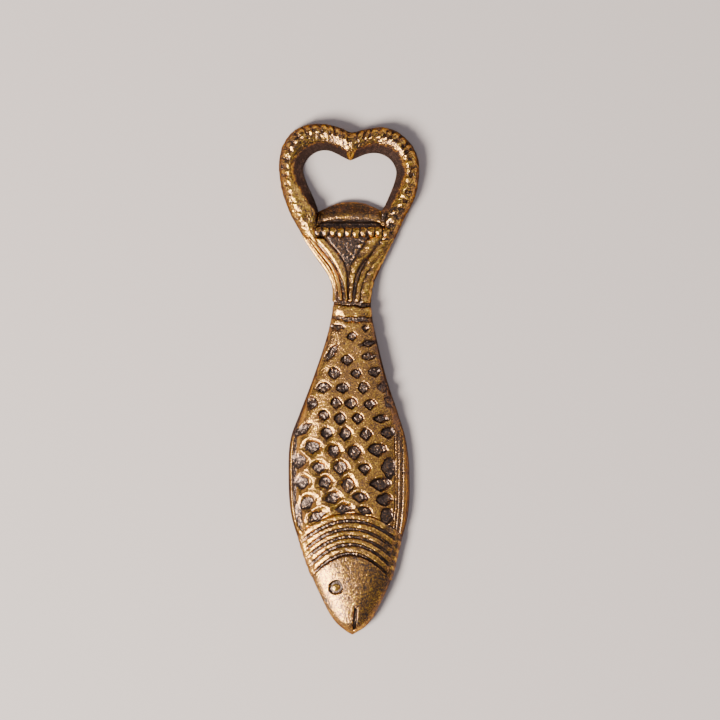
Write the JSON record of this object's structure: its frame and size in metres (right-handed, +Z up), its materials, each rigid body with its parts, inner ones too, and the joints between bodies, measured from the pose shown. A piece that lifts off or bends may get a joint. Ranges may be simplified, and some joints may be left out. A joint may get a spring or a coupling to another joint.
{
  "type": "bottle opener",
  "caption": "Fish-shaped cast brass bottle opener with a flat back; the tail is a heart-shaped loop whose lip hooks under a crown cap.",
  "frame": {"origin": "centre of the flat back, in the middle of the object's length and width", "axes": "+Y along the fish from the nose to the heart-shaped loop, +X to the fish's right-hand edge as seen from above, +Z up from the flat back through the raised side"},
  "size_m": [0.04, 0.145, 0.0076],
  "materials": {
    "antique_brass": "aged cast brass, golden and worn bright on the raised parts, brown in the hollows, grainy",
    "patina_brass": "dark brown oxidised cast brass, rough and grainy"
  },
  "bodies": {
    "root": {"trunk": "patina_brass", "scale_net": "antique_brass", "left_fin": "antique_brass", "right_fin": "antique_brass", "gill_band_1": "antique_brass", "gill_band_2": "antique_brass", "gill_band_3": "antique_brass", "gill_band_4": "antique_brass", "gill_band_5": "antique_brass", "head": "antique_brass", "eye": "antique_brass", "neck_collar": "antique_brass", "tail_plate": "patina_brass", "tail_rays_left": "antique_brass", "tail_rays_right": "antique_brass", "throat_panel": "patina_brass", "bead_bar": "antique_brass", "cap_lip": "patina_brass", "loop_arm_left": "antique_brass", "loop_arm_right": "antique_brass", "loop_lobe_left": "antique_brass", "loop_lobe_right": "antique_brass", "loop_cusp": "antique_brass"}
  },
  "joints": []
}
